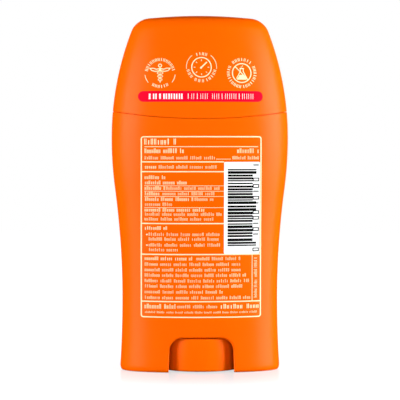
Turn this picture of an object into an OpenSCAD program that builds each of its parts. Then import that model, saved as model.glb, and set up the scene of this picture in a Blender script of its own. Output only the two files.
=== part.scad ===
// Oval twist-up stick with its over-cap on.
// The stick stands on its foot rim with the origin at the middle of the foot, +Z up.
// The printed side faces -Y. All sizes are millimetres.

/* [Outer form] */
// Height from the foot rim to the middle of the crown
stick_h = 116; // [108:0.5:124]
// Width at the shoulder, the widest place
shoulder_w = 58; // [56:0.5:62]
// Depth front to back at the shoulder
shoulder_d = 29.4; // [28.5:0.1:32]
// How far the shoulder lies below the seam
shoulder_drop = 6.1; // [3:0.1:9]
// Width at the waist
waist_w = 51; // [48:0.5:53]
// Height of the waist
waist_z = 23.7; // [20:0.1:28]
// Width at the foot
foot_w = 52.6; // [51.5:0.1:56]
// Share of the flank between waist and shoulder that curves outward
flank_share = 0.68; // [0.5:0.01:0.8]
// Radius of the flank above the shoulder, seen from the front
crown_sweep_r = 97; // [85:1:120]
// Rounding of the edge round the crown
crown_edge_r = 4; // [2.5:0.1:5]
// Rise of the crown from its edge to its middle
crown_rise = 0.9; // [0.3:0.1:2]
// Squareness of the oval sections, 2 is an ellipse
oval_power = 2.2; // [2:0.05:2.6]

/* [Shell] */
// Wall of the outer shell
shell_wall = 1.6; // [1.2:0.1:2]
// How far the foot edge is rounded inward
foot_edge_in = 0.9; // [0.4:0.1:1]
// Height of that rounding
foot_edge_h = 2; // [1:0.1:3]
// Width of the finger window at the foot
window_w = 20.7; // [17:0.1:22]
// Height of the finger window
window_h = 11.1; // [9:0.1:12]
// Radius of its two upper corners
window_r = 3.3; // [2:0.1:4]
// Taper of each side of the window over its height
window_draft = 0.3; // [0.15:0.05:0.6]
// Rounding of the window's outer edge
window_edge_r = 0.8; // [0.3:0.1:1]
// Width of the ledge that carries the barrel's flange
ledge_w = 1.6; // [1.2:0.1:2]
// Height of that ledge
ledge_h = 1.6; // [1.2:0.1:2.5]

/* [Cap] */
// Wall of the cap
cap_wall = 1.4; // [1.1:0.1:1.8]
// Height of the cap at the middle of the front, from the seam to the crown
cap_h = 33.9; // [31:0.1:36]
// Rise of the seam from the front to the sides
seam_rise = 2.5; // [1:0.1:3.5]
// Gap at the seam
seam_gap = 0.15; // [0.1:0.05:0.4]
// Thickness of the grip ribs inside the cap
rib_t = 1.2; // [0.8:0.1:2]
// Distance of each grip rib from the middle
rib_x = 9; // [6:0.5:12]

/* [Barrel] */
// Wall of the inner barrel
barrel_wall = 1.2; // [1:0.1:1.5]
// Height of the neck's rim above the seam
neck_h = 13.9; // [12:0.1:16]
// How far the flange's underside lies below the seam
flange_drop = 5.1; // [4.4:0.1:7]
// Thickness of the flange
flange_t = 1.5; // [1.2:0.1:2]
// Gap between the knob's drum and the floor's underside
floor_gap = 2.9; // [2.4:0.1:4]
// Thickness of the floor
floor_t = 1.5; // [1.2:0.1:2]
// Wall of the lip that the cap slides over
lip_t = 0.9; // [0.7:0.1:1.2]
// How far the lip reaches above the sides of the seam
lip_over = 1.2; // [0.6:0.1:2.5]
// How far the bead's foot lies below the neck's rim
bead_drop = 5; // [3.5:0.1:7]
// How far the bead stands out
bead_out = 0.35; // [0.2:0.05:0.5]

/* [Screw] */
// Rise of the platform for one turn of the knob
lead = 6; // [5:0.5:8]
// Outer radius of the screw thread
thread_r = 4; // [3.6:0.1:4.5]
// Depth of the thread
thread_depth = 1.2; // [0.8:0.1:1.4]
// Radius of the journal that turns in the floor
journal_r = 3; // [2.6:0.1:3.3]
// Width across the square foot that drives the screw
drive_w = 4; // [3.4:0.1:4.2]
// Thickness of the collar above the floor
collar_t = 1.4; // [1:0.1:2]
// How far the collar stands out past the thread
collar_out = 0.7; // [0.4:0.1:1.2]
// How far the screw ends below the neck's rim
screw_drop = 4.5; // [3:0.1:8]

/* [Knob] */
// How far the knob stands back from the face of the foot
knob_recess = 0.3; // [0.2:0.1:1.5]
// Height of the knob's drum
knob_h = 10.3; // [8:0.1:10.8]
// Wall of the drum and of its closed underside
knob_wall = 1.6; // [1.2:0.1:2]
// Rounding of the drum's edges
knob_edge_r = 0.7; // [0.3:0.1:0.75]
// Gap under the knob
knob_lift = 0.3; // [0.2:0.1:0.8]
// Radius of the knob's hub
hub_r = 4.6; // [4.2:0.1:5.5]

/* [Platform and product] */
// How far the platform's top lies below the neck's rim in this part-used stick
platform_drop = 9.5; // [8:0.5:12]
// Thickness of the platform
platform_t = 1.6; // [1.2:0.1:2.2]
// Height of the wiper skirt under the platform
skirt_h = 6; // [4:0.5:7]
// Wall of the wiper skirt
skirt_t = 1.1; // [0.8:0.1:1.4]
// Length of the nut under the platform
nut_len = 7; // [6:0.5:9]
// Wall of the nut round the thread
nut_wall = 1.5; // [1.2:0.1:2]
// Radius of the keying holes through the platform
key_r = 1.8; // [1:0.1:2.2]
// Height of the product's side above the platform
product_h = 7; // [4:0.5:9]
// Height of the product's dome
dome_h = 8; // [5:0.5:9]

/* [Clearances] */
// Gap round parts that sit still in each other
fit = 0.3; // [0.2:0.05:0.4]
// Radial gap of the journal in its bearing
running_gap = 0.06; // [0.03:0.01:0.1]
// Gap round the platform and the product in the bore
slide_gap = 0.3; // [0.2:0.05:0.5]
// Gap between the screw and the nut
thread_gap = 0.25; // [0.2:0.05:0.35]
// Gap between faces that rest on each other
rest_gap = 0.05; // [0.02:0.01:0.1]

/* [Hidden] */

orange = "#ff6801";
depth_share = shoulder_d / shoulder_w;
seam_z = stick_h - cap_h;
shoulder_z = seam_z - shoulder_drop;
flange_z = seam_z - flange_drop;
lip_top_z = seam_z + seam_rise + lip_over;
rim_z = seam_z + neck_h;
bead_z = rim_z - bead_drop;
platform_z = rim_z - platform_drop;
floor_z = knob_lift + knob_h + floor_gap;
flank_rise = (shoulder_w - waist_w) / 2;
flank_span = shoulder_z - waist_z;
flank_slope = 2 * flank_rise / flank_span;
flank_turn_z = waist_z + flank_share * flank_span;
edge_start_z = stick_h - crown_rise - crown_edge_r;
column_step = 6;
blend_z = window_h + 3;

barrel_a = barrel_half(1);
barrel_b = barrel_half(depth_share);
bore_a = barrel_a - barrel_wall;
bore_b = barrel_b - barrel_wall;
floor_top = floor_z + floor_t;
collar_z = floor_top + rest_gap;
thread_z = collar_z + collar_t;
screw_top = rim_z - screw_drop;
collar_r = thread_r + collar_out;
knob_r = half_w(0) * depth_share - knob_recess;
hub_top = floor_z - rest_gap;
socket_top = knob_lift + knob_h - 1.5;
socket_z = knob_lift + knob_wall + 1;
crest_half = 50;
flank_angle = 40;
slices_per_turn = 10;
rib_bury = 0.4;

// Half the outer width at a height: foot, waist, flank, shoulder and crown sweep
function half_w(z) =
    z < waist_z ? waist_w / 2 + (foot_w - waist_w) / 2 * pow(1 - z / waist_z, 2)
    : z < flank_turn_z ? waist_w / 2 + flank_slope / 2 * pow(z - waist_z, 2) / (flank_turn_z - waist_z)
    : z < shoulder_z
    ? shoulder_w / 2 - flank_slope / 2 * pow(shoulder_z - z, 2) / (shoulder_z - flank_turn_z)
    : shoulder_w / 2 - crown_sweep_r + sqrt(pow(crown_sweep_r, 2) - pow(z - shoulder_z, 2));

// Half the size that a straight barrel has room for in the shell, its ledge and the cap:
// share is 1 along the width and depth_share along the depth
function barrel_half(share) = min([
    for (z = [floor_z, waist_z]) half_w(z) * share - shell_wall,
    half_w(shoulder_z) * share - shell_wall - ledge_w,
    half_w(rim_z) * share - cap_wall]) - fit;

// A number raised to the oval's power with its sign kept
function oval_reach(u) = sign(u) * pow(abs(u), 2 / oval_power);

// A point of an oval with half width a and half depth b, at the angle t of its column
function oval_point(a, b, t) = [a * oval_reach(cos(t)), b * oval_reach(sin(t))];

// A point of the outer form at a height, moved in by inset
function form_point(z, inset, t) =
    let (a = half_w(z)) concat(oval_point(a - inset, a * depth_share - inset, t), z);

// The column angle at which an oval of half width a passes x
function column_angle(x, a) = acos(pow(x / a, oval_power / 2));

// All four quarters from the angles of one, which run from 0 up to 90
function all_quarters(quarter) = concat(
    quarter,
    [for (i = [len(quarter) - 2:-1:0]) 180 - quarter[i]],
    [for (i = [1:len(quarter) - 1]) 180 + quarter[i]],
    [for (i = [len(quarter) - 2:-1:1]) 360 - quarter[i]]);

even_columns = all_quarters([for (t = [0:column_step:90]) t]);

// One ring of the outer form, moved in by inset, at one height for all columns
function ring(columns, z, inset) = [for (t = columns) form_point(z, inset, t)];

// The height of the seam above a place x on the outer form
function seam_height(x) = seam_z + seam_rise * pow(x / half_w(seam_z), 2);

// A ring that follows the curved seam
function seam_ring(columns, lift, inset) =
    [for (t = columns) form_point(seam_height(half_w(seam_z) * oval_reach(cos(t))) + lift, inset, t)];

// A solid through rings of equal length: a loop joins the last ring to the first,
// or else flat faces close both ends
module skin(rings, loop = false) {
    n = len(rings[0]);
    m = len(rings);
    sides = [
        for (k = [0:m - (loop ? 1 : 2)], i = [0:n - 1])
            let (j = (i + 1) % n, above = (k + 1) % m)
            for (face = [[k * n + i, above * n + j, k * n + j], [k * n + i, above * n + i, above * n + j]])
                face
    ];
    ends = loop ? [] : [[for (i = [0:n - 1]) i], [for (i = [n - 1:-1:0]) (m - 1) * n + i]];
    polyhedron([for (r = rings, p = r) p], concat(sides, ends));
}

// An upright prism with an oval outline
module oval_prism(a, b, z_from, z_to) {
    translate([0, 0, z_from])
        linear_extrude(z_to - z_from)
            polygon([for (t = even_columns) oval_point(a, b, t)]);
}

// The outline of half a finger window, as [x, height of the shell's lower edge], from the side to the middle
window_outline = concat(
    [[window_w / 2 + window_draft, 0]],
    [for (q = [0:30:90])
        [window_w / 2 - window_r * (1 - cos(q)), window_h - window_r * (1 - sin(q))]],
    [[window_w / 5, window_h], [0, window_h]]);

// The distance of a point from a straight line between two others
function line_distance(point, from, to) =
    let (along = to - from, share = max(0, min(1, (point - from) * along / (along * along))))
    norm(point - from - share * along);

// The distance of a place on the face from the edge of the finger window
function window_distance(x, z) =
    min([for (i = [1:len(window_outline) - 1])
        line_distance([abs(x), z], window_outline[i - 1], window_outline[i])]);

// How far an edge rounded to a radius lies inward at a distance from it
function rounded_in(distance, radius) =
    let (near = max(0, 1 - distance / radius)) radius * (1 - sqrt(1 - near * near));

// The columns of the shell in one quarter, as [angle, height of the lower edge]
function shell_quarter() =
    let (last = column_angle(window_outline[0].x + window_edge_r, half_w(0)),
        steps = ceil(last / column_step))
    concat(
        [for (i = [0:steps]) [last * i / steps, 0]],
        [for (p = window_outline) [column_angle(p.x, half_w(p.y)), p.y]]);

// How far the outer face of the shell lies inward at its rounded foot and window edges
function shell_edge_in(z, angle) =
    max(foot_edge_in * rounded_in(z / foot_edge_h, 1),
        rounded_in(window_distance(half_w(z) * oval_reach(cos(angle)), z), window_edge_r));

// One ring of the shell: below blend_z its columns start at the window's edge
function shell_ring(level, inset) =
    let (quarter = shell_quarter(),
        angles = all_quarters([for (c = quarter) c[0]]),
        edges = let (n = len(quarter)) concat(
            [for (c = quarter) c[1]],
            [for (i = [n - 2:-1:0]) quarter[i][1]],
            [for (i = [1:n - 1]) quarter[i][1]],
            [for (i = [n - 2:-1:1]) quarter[i][1]]))
    [for (i = [0:len(angles) - 1])
        let (z = level < blend_z ? edges[i] + level * (1 - edges[i] / blend_z) : level)
        form_point(z, inset == 0 ? shell_edge_in(z, angles[i]) : inset, angles[i])];

// Waisted outer shell, open at both ends, with a finger window front and back
module outer_shell() {
    columns = all_quarters([for (c = shell_quarter()) c[0]]);
    ledge_top = flange_z - rest_gap;
    ledge_foot = ledge_top - ledge_h - ledge_w;
    top_ring_z = seam_z - 3;
    color(orange)
        skin(concat(
            [for (q = [0:30:60]) shell_ring(foot_edge_h * (1 - cos(q)), 0)],
            [for (i = [0:4]) shell_ring(foot_edge_h + (blend_z - foot_edge_h) * i / 5, 0)],
            [for (i = [0:10]) shell_ring(blend_z + (top_ring_z - blend_z) * i / 10, 0)],
            [seam_ring(columns, -seam_gap / 2, 0), seam_ring(columns, -seam_gap / 2, shell_wall)],
            [shell_ring(ledge_top, shell_wall)],
            [for (z = [ledge_top, ledge_top - ledge_h]) shell_ring(z, shell_wall + ledge_w)],
            [for (i = [7:-1:0]) shell_ring(ledge_foot * i / 7, shell_wall)]), loop = true);
}

// Straight oval barrel with its floor, bearing, flange, neck bead and the lip that the cap slides over
module inner_barrel() {
    flange_a = half_w(flange_z) - shell_wall - fit;
    flange_b = half_w(flange_z) * depth_share - shell_wall - fit;
    lip_in = max(shell_wall, cap_wall) + fit;
    lip_a = half_w(lip_top_z) - lip_in;
    lip_b = half_w(lip_top_z) * depth_share - lip_in;
    color("#ff7a22")
        difference() {
            union() {
                oval_prism(barrel_a, barrel_b, floor_z, rim_z);
                oval_prism(flange_a, flange_b, flange_z, flange_z + flange_t);
                difference() {
                    oval_prism(lip_a, lip_b, flange_z, lip_top_z);
                    oval_prism(lip_a - lip_t, lip_b - lip_t, flange_z + flange_t, lip_top_z + 1);
                }
                oval_prism(barrel_a + bead_out, barrel_b + bead_out, bead_z, bead_z + 1);
            }
            oval_prism(bore_a, bore_b, floor_top, rim_z + 1);
            translate([0, 0, floor_z - 1])
                cylinder(r = journal_r + running_gap, h = floor_t + 2, $fn = 48);
        }
}

// The rings of one skin of the cap, from the seam up to the flat middle of the crown
function cap_rings(inset) =
    let (r = crown_edge_r - inset, top_z = edge_start_z + r,
        a = half_w(top_z) - inset - r, b = half_w(top_z) * depth_share - inset - r,
        low = seam_z + seam_rise + 2)
    concat(
        [seam_ring(even_columns, seam_gap / 2, inset)],
        [for (i = [0:4]) ring(even_columns, low + (edge_start_z - low) * i / 5, inset)],
        [for (q = [0:22.5:90])
            let (z = edge_start_z + r * sin(q)) ring(even_columns, z, inset + r * (1 - cos(q)))],
        [for (f = [0.65, 0.3])
            [for (t = even_columns) concat(oval_point(a * f, b * f, t), top_z + crown_rise * (1 - f * f))]]);

// Half the depth of the cap's inside at a grip rib
function rib_seat(z) =
    let (a = half_w(z) - cap_wall, b = half_w(z) * depth_share - cap_wall)
    oval_point(a, b, column_angle(rib_x + rib_t, a)).y;

// A grip rib on the front: it runs up from a sloped lead-in above the lip to just above the neck bead
module grip_rib() {
    tip = barrel_b + bead_out + fit;
    low = lip_top_z + fit;
    high = bead_z + 2.5;
    translate([rib_t / 2, 0, 0])
        rotate([90, 0, -90])
            linear_extrude(rib_t)
                polygon([
                    [tip, low + 1.5], [rib_seat(low) + rib_bury, low],
                    [rib_seat(high) + rib_bury, high], [tip, high]]);
}

// Over-cap with a curved lower edge, a domed crown and grip ribs inside
module cap() {
    outer = cap_rings(0);
    inner = cap_rings(cap_wall);
    color(orange)
        union() {
            skin(concat([for (i = [len(inner) - 1:-1:0]) inner[i]], outer));
            for (side = [-1, 1], face = [0, 1])
                mirror([0, face, 0])
                    translate([side * rib_x, 0, 0])
                        grip_rib();
        }
}

// Drum knob with a closed underside and a hub with a square socket
module knob() {
    top = knob_lift + knob_h;
    color(orange)
        difference() {
            rotate_extrude($fn = 96)
                difference() {
                    union() {
                        translate([0, knob_lift])
                            square([knob_r - knob_edge_r, knob_h]);
                        translate([0, knob_lift + knob_edge_r])
                            square([knob_r, knob_h - 2 * knob_edge_r]);
                        for (z = [knob_lift + knob_edge_r, top - knob_edge_r])
                            translate([knob_r - knob_edge_r, z])
                                circle(knob_edge_r, $fn = 32);
                        square([hub_r, hub_top]);
                    }
                    translate([hub_r, knob_lift + knob_wall])
                        square([knob_r - knob_wall - hub_r, knob_h]);
                    translate([-1, -1])
                        square([hub_r + 1, 1 + knob_lift]);
                    translate([-1, socket_top])
                        square([1 + journal_r + running_gap, hub_top]);
                }
            translate([-drive_w / 2 - rest_gap, -drive_w / 2 - rest_gap, socket_z])
                cube([drive_w + 2 * rest_gap, drive_w + 2 * rest_gap, hub_top]);
        }
}

// The left-hand screw thread between two heights, in step with height 0. A gap widens it on every side,
// and a nut's bore, which its flat facets narrow, takes them finer than the screw
module thread(z_from, z_to, gap, fineness = 1) {
    turn = 360 / lead;
    crest = crest_half + gap * turn;
    root = crest + flank_angle;
    crest_steps = 4 * fineness;
    root_steps = 6 * fineness;
    section = concat(
        [for (i = [0:crest_steps]) let (q = crest * (2 * i / crest_steps - 1))
            (thread_r + gap) * [cos(q), sin(q)]],
        [for (i = [0:root_steps]) let (q = root + i * (360 - 2 * root) / root_steps)
            (thread_r - thread_depth + gap) * [cos(q), sin(q)]]);
    translate([0, 0, z_from])
        rotate(-turn * z_from)
            linear_extrude(z_to - z_from, twist = turn * (z_to - z_from),
                slices = ceil((z_to - z_from) / lead * slices_per_turn * fineness))
                polygon(section);
}

// Screw with a square foot, a journal, a collar and the thread
module spindle() {
    color("#f4efe6")
        union() {
            translate([-drive_w / 2, -drive_w / 2, socket_z + rest_gap])
                cube([drive_w, drive_w, socket_top - socket_z]);
            translate([0, 0, socket_top + rest_gap])
                cylinder(r = journal_r, h = collar_z - socket_top, $fn = 48);
            translate([0, 0, collar_z])
                cylinder(r = collar_r, h = collar_t, $fn = 48);
            thread(thread_z, screw_top, 0);
        }
}

key_places = [for (side = [-1, 1], y = [-1, 1]) [side * bore_a * 0.55, y * bore_b * 0.4]];

// Platform with its wiper skirt, keying holes and threaded nut
module elevator() {
    a = bore_a - slide_gap;
    b = bore_b - slide_gap;
    under = platform_z - platform_t;
    color("#f4efe6")
        difference() {
            union() {
                difference() {
                    oval_prism(a, b, under - skirt_h, platform_z);
                    oval_prism(a - skirt_t, b - skirt_t, under - skirt_h - 1, under);
                }
                translate([0, 0, under - nut_len])
                    cylinder(r = thread_r + thread_gap + nut_wall, h = nut_len + platform_t / 2, $fn = 48);
            }
            thread(under - nut_len - 1, platform_z + 1, thread_gap, fineness = 2);
            for (p = key_places)
                translate([p.x, p.y, under - 1])
                    cylinder(r = key_r, h = platform_t + 2, $fn = 32);
        }
}

// The rings of the product, from its lower edge over the dome and down the hole that the screw leaves
function product_rings() =
    let (a = bore_a - slide_gap, b = bore_b - slide_gap,
        hole = thread_r + thread_gap + fit, z = platform_z + rest_gap, side = z + product_h)
    [
        for (height = [z, side]) [for (t = even_columns) concat(oval_point(a, b, t), height)],
        for (q = [18:18:72])
            [for (t = even_columns)
                let (rim = [hole * cos(t), hole * sin(t)])
                concat(rim + (oval_point(a, b, t) - rim) * cos(q), side + dome_h * sin(q))],
        for (height = [side + dome_h, z]) [for (t = even_columns) [hole * cos(t), hole * sin(t), height]]
    ];

// Solid product with a domed top, keyed into the platform
module product_stick() {
    color("#f7f3ea")
        union() {
            skin(product_rings(), loop = true);
            for (p = key_places)
                translate([p.x, p.y, platform_z - platform_t])
                    cylinder(r = key_r - 2 * rest_gap, h = platform_t + 1, $fn = 32);
        }
}

outer_shell();
inner_barrel();
cap();
knob();
spindle();
elevator();
product_stick();
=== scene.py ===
"""Looks of an oval twist-up stick: satin orange plastic, cream print, and the parts inside."""
import functools
import math

import bmesh
import bpy
import numpy as np
from bpy.props import FloatProperty, FloatVectorProperty, IntProperty, PointerProperty
from mathutils import Matrix, Vector


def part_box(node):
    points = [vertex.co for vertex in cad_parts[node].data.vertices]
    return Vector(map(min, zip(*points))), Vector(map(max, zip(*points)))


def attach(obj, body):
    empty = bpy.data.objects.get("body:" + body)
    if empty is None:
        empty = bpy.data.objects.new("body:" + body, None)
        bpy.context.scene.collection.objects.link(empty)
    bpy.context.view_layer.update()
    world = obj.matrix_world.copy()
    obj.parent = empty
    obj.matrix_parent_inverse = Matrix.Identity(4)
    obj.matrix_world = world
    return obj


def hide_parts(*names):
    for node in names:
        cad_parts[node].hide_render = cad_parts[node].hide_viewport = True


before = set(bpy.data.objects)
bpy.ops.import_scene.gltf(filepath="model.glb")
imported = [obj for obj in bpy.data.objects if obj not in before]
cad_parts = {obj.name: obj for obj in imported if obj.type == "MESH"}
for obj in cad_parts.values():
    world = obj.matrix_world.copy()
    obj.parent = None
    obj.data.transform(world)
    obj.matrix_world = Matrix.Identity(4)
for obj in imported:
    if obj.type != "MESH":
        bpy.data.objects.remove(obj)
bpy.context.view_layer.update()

bl_info = {
    "name": "Twist-up stick",
    "version": (1, 0, 0),
    "blender": (4, 5, 0),
    "location": "View3D > Sidebar > Stick",
    "description": "Builds an oval twist-up stick, its print and a plain studio",
    "category": "Object",
}

MM = 0.001
KNOB_LOW, KNOB_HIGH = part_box("knob")
BARREL_LOW, BARREL_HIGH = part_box("inner_barrel")
SCREW_LOW, SCREW_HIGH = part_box("spindle")
PRODUCT_LOW, PRODUCT_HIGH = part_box("product_stick")
PLATFORM_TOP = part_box("elevator")[1].z
# The bore of the bearing in the barrel's floor, and of the knob's hub
BEARING_R = 3.06 * MM
# What stands for a radius of 0 in a turned profile
AXIS_R = 1e-9
# Edges that turn more than this stay sharp
SHARP = math.radians(38)
# Noise hardly leaves this range
NOISE_RANGE = (0.3, 0.7)
# Each light's azimuth from the face and elevation in degrees, distance and size in metres, and whether
# glossy surfaces show it
LIGHTS = {
    "left_box": (-68, 6, 0.65, (0.4, 0.45), True),
    "right_box": (75, 6, 0.65, (0.44, 0.45), True),
    "top_box": (0, 80, 0.9, (0.9, 0.9), False),
    "front_fill": (0, 8, 1.5, (1.4, 0.5), False),
    "back_fill": (180, 12, 1.3, (1.4, 0.6), False),
}


def number(name, description, default, unit="NONE"):
    """A plain number or, with the unit ROTATION, an angle in radians."""
    return FloatProperty(name=name, description=description, default=default, unit=unit)


def length(name, description, default):
    """A length property in metres."""
    return FloatProperty(name=name, description=description, default=default, unit="LENGTH", precision=4)


def colour(name, description, default):
    """A colour property, linear."""
    return FloatVectorProperty(
        name=name, description=description, default=default, size=3, subtype="COLOR", min=0, max=1)


class StickForm(bpy.types.PropertyGroup):
    """Sizes of the outer form and of the parts inside."""

    crown_z: length("Crown height", "Height of the middle of the crown", 116 * MM)
    shoulder_w: length("Shoulder width", "Width at the widest place", 58 * MM)
    shoulder_d: length("Shoulder depth", "Depth at the widest place", 29.4 * MM)
    shoulder_z: length("Shoulder height", "Height of the widest place", 76 * MM)
    waist_w: length("Waist width", "Width at the narrowest place", 51 * MM)
    waist_z: length("Waist height", "Height of the narrowest place", 23.7 * MM)
    foot_w: length("Foot width", "Width at the foot", 52.6 * MM)
    flank_share: number("Flank share", "Share of the flank that curves outward", 0.68)
    sweep_r: length("Crown sweep", "Radius of the flank above the shoulder", 97 * MM)
    crown_edge_r: length("Crown edge", "Rounding round the crown", 4 * MM)
    crown_rise: length("Crown rise", "Rise of the crown to its middle", 0.9 * MM)
    oval_power: number("Oval power", "Squareness of the sections", 2.2)
    shell_wall: length("Shell wall", "Wall of the shell", 1.6 * MM)
    cap_wall: length("Cap wall", "Wall of the cap", 1.4 * MM)
    seam_z: length("Seam height", "Height of the seam at the middle of the front", 82.1 * MM)
    seam_rise: length("Seam rise", "Rise of the seam to the sides", 2.5 * MM)
    seam_gap: length("Seam gap", "Gap at the seam", 0.15 * MM)
    seam_edge_r: length("Seam edge", "Rounding of both edges at the seam", 0.1 * MM)
    foot_edge_in: length("Foot edge", "How far the foot edge is rounded in", 0.9 * MM)
    foot_edge_h: length("Foot edge height", "Height of that rounding", 2 * MM)
    window_w: length("Window width", "Width of the finger window", 20.7 * MM)
    window_h: length("Window height", "Height of the finger window", 11.1 * MM)
    window_r: length("Window corner", "Radius of the window's upper corners", 4.1 * MM)
    window_draft: length("Window draft", "Taper of each side of the window", 0.3 * MM)
    window_lip: length("Window lip", "Rounding of the window's outer edge", 0.7 * MM)
    window_root: length("Window root", "Rounding of the window's inner edge", 0.3 * MM)
    ledge_z: length("Ledge height", "Height of the ledge under the flange", 76.95 * MM)
    ledge_w: length("Ledge width", "Width and height of the ledge", 1.6 * MM)
    fit: length("Fit", "Gap round the barrel in the shell", 0.3 * MM)
    barrel_wall: length("Barrel wall", "Wall of the barrel", 1.2 * MM)
    lip_wall: length("Lip wall", "Wall of the lip that the cap slides over", 0.9 * MM)
    lip_over: length("Lip height", "How far the lip reaches above the sides of the seam", 1.2 * MM)
    bead_z: length("Bead height", "Height of the foot of the neck's bead", 91 * MM)
    bead_h: length("Bead length", "How far the bead reaches up the neck", 1 * MM)
    bead_out: length("Bead", "How far the bead stands out", 0.35 * MM)
    slide_gap: length("Slide gap", "Gap round the product in the bore", 0.3 * MM)


class StickPrint(bpy.types.PropertyGroup):
    """Sizes of the print on the face."""

    ink: length("Ink", "Thickness of the print on the surface", 0.03 * MM)
    sink: length("Ink root", "How deep the print's back lies in the surface", 0.03 * MM)
    stroke: length("Stroke", "Width of the panel's lines", 0.36 * MM)
    step: length("Step", "Longest edge of a printed shape", 0.9 * MM)
    words_r: length("Words", "Radius of the words round a badge", 4.4 * MM)
    arcs_r: length("Arcs", "Radius of the fine arcs round a badge", 4.87 * MM)
    seed: IntProperty(name="Seed", description="Seed of the word-like marks", default=7)


class StickFinish(bpy.types.PropertyGroup):
    """Colours and gloss."""

    orange: colour("Orange", "Shell and cap", (1.0, 0.123, 0.0))
    # Painted light: the knob is the shell's orange made a little lighter, so that it does not fall darker in
    # the shade of its window
    knob: colour("Knob", "Knob", (1.0, 0.129, 0.0))
    inner: colour("Inner", "Barrel and neck", (1.0, 0.16, 0.005))
    natural: colour("Natural", "Uncoloured plastic", (0.86, 0.83, 0.76))
    product: colour("Product", "Waxy product", (0.9, 0.87, 0.8))
    ink: colour("Ink", "Cream print", (1.0, 0.85, 0.5))
    pill: colour("Pill", "Red field", (0.86, 0.002, 0.027))
    field: colour("Field", "Barcode field", (0.95, 0.95, 0.95))
    black: colour("Black", "Barcode bars", (0.006, 0.006, 0.006))
    roughness: number("Roughness", "Roughness of the plastic", 0.32)


class StickStage(bpy.types.PropertyGroup):
    """Camera and studio."""

    azimuth: number("Azimuth", "Turn of the camera", math.radians(-2.5), "ROTATION")
    elevation: number("Elevation", "Tilt of the camera", math.radians(1.38), "ROTATION")
    distance: length("Distance", "Camera to the stick's axis", 640 * MM)
    aim_x: length("Aim sideways", "Where the camera looks, sideways", 0.05 * MM)
    aim_z: length("Aim height", "Where the camera looks, in height", 55.6 * MM)
    lens: number("Lens", "Focal length in millimetres", 175.0)
    left_box: number("Left box", "Level of the left light", 1.58)
    right_box: number("Right box", "Level of the right light", 2.4)
    top_box: number("Top", "Level of the top light", 0.02)
    front_fill: number("Front fill", "Level of the front fill", 0.42)
    back_fill: number("Back fill", "Level of the back fill", 1.0)
    floor_size: length("Floor size", "Half the width of the floor", 1.2)
    floor_white: number("Floor", "Whiteness of the floor", 0.2)
    floor_light: number("Floor light", "Light that comes through the floor", 0.96)
    mirror: number("Floor gloss", "Share of a low view that the floor mirrors", 0.33)
    mirror_reach: length("Gloss reach", "How far out the floor still mirrors", 68 * MM)


def form():
    """The stick's sizes."""
    return bpy.context.scene.stick_form


def print_sizes():
    """The print's sizes."""
    return bpy.context.scene.stick_print


def half_width(z):
    """Half the outer width at the heights z: foot, waist, flank, shoulder and crown sweep."""
    f = form()
    z = np.asarray(z, float)
    waist, shoulder = f.waist_w / 2, f.shoulder_w / 2
    span = f.shoulder_z - f.waist_z
    slope = 2 * (shoulder - waist) / span
    turn = f.waist_z + f.flank_share * span
    foot = waist + (f.foot_w - f.waist_w) / 2 * (1 - z / f.waist_z) ** 2
    flank = waist + slope / 2 * (z - f.waist_z) ** 2 / (turn - f.waist_z)
    upper = shoulder - slope / 2 * (f.shoulder_z - z) ** 2 / (f.shoulder_z - turn)
    sweep = shoulder - f.sweep_r + np.sqrt(f.sweep_r ** 2 - (z - f.shoulder_z) ** 2)
    return np.select([z < f.waist_z, z < turn, z < f.shoulder_z], [foot, flank, upper], sweep)


def reach(u):
    """A circle's cosine or sine, bent to the squareness of the oval."""
    return np.sign(u) * np.abs(u) ** (2 / form().oval_power)


def oval(a, b, angles):
    """Points of an oval of half width a and half depth b."""
    return np.stack([a * reach(np.cos(angles)), b * reach(np.sin(angles))], -1)


def circle(angles):
    """Flat points of a circle of radius 1."""
    return np.column_stack([np.cos(angles), np.sin(angles)])


def level_ring(flat, z):
    """A ring of flat points, lifted to the height z."""
    return np.column_stack([flat, np.full(len(flat), z)])


def even_angles(count):
    """Column angles that reach all four extremes of an oval."""
    return np.arange(count) * 2 * math.pi / count


def form_points(z, inset, angles):
    """Points of the outer form at the heights z, moved in by inset."""
    a = half_width(z)
    share = form().shoulder_d / form().shoulder_w
    z, inset, angles = np.broadcast_arrays(z, inset, angles)
    flat = oval(a - inset, a * share - inset, angles)
    return np.concatenate([flat, z[..., None]], -1)


def column_angle(x, z):
    """The column angle at which the outer form passes x at the height z."""
    return np.arccos((np.asarray(x) / half_width(z)) ** (form().oval_power / 2))


def all_quarters(quarter):
    """All four quarters from the column angles of one, which run from 0 up to a right angle."""
    q = np.asarray(quarter)
    return np.concatenate([q, math.pi - q[-2::-1], math.pi + q[1:], 2 * math.pi - q[-2:0:-1]])


def mirrored(values):
    """The values of one quarter's columns repeated round all four."""
    v = np.asarray(values)
    return np.concatenate([v, v[-2::-1], v[1:], v[-2:0:-1]])


def quarter_round(distance, radius):
    """How far an edge rounded to radius lies in at that distance from it."""
    near = np.clip(1 - distance / radius, 0, 1)
    return radius * (1 - np.sqrt(1 - near ** 2))


def seam_height(angles):
    """The height of the seam at the columns."""
    f = form()
    return f.seam_z + f.seam_rise * reach(np.cos(angles)) ** 2


def add_object(name, mesh):
    """A new object with that mesh."""
    obj = bpy.data.objects.new(name, mesh)
    bpy.context.scene.collection.objects.link(obj)
    return obj


def baked(name, bm):
    """A new mesh from a bmesh, which is freed."""
    mesh = bpy.data.meshes.new(name)
    bm.to_mesh(mesh)
    bm.free()
    return mesh


def shade(mesh):
    """Shades a mesh smooth between its sharp edges."""
    mesh.shade_smooth()
    mesh.set_sharp_from_angle(angle=SHARP)
    return mesh


def tidy_mesh(mesh):
    """Merges doubles, turns the faces outward and shades the mesh."""
    bm = bmesh.new()
    bm.from_mesh(mesh)
    bmesh.ops.remove_doubles(bm, verts=bm.verts, dist=1e-7)
    bmesh.ops.recalc_face_normals(bm, faces=bm.faces)
    bm.to_mesh(mesh)
    bm.free()
    return shade(mesh)


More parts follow.
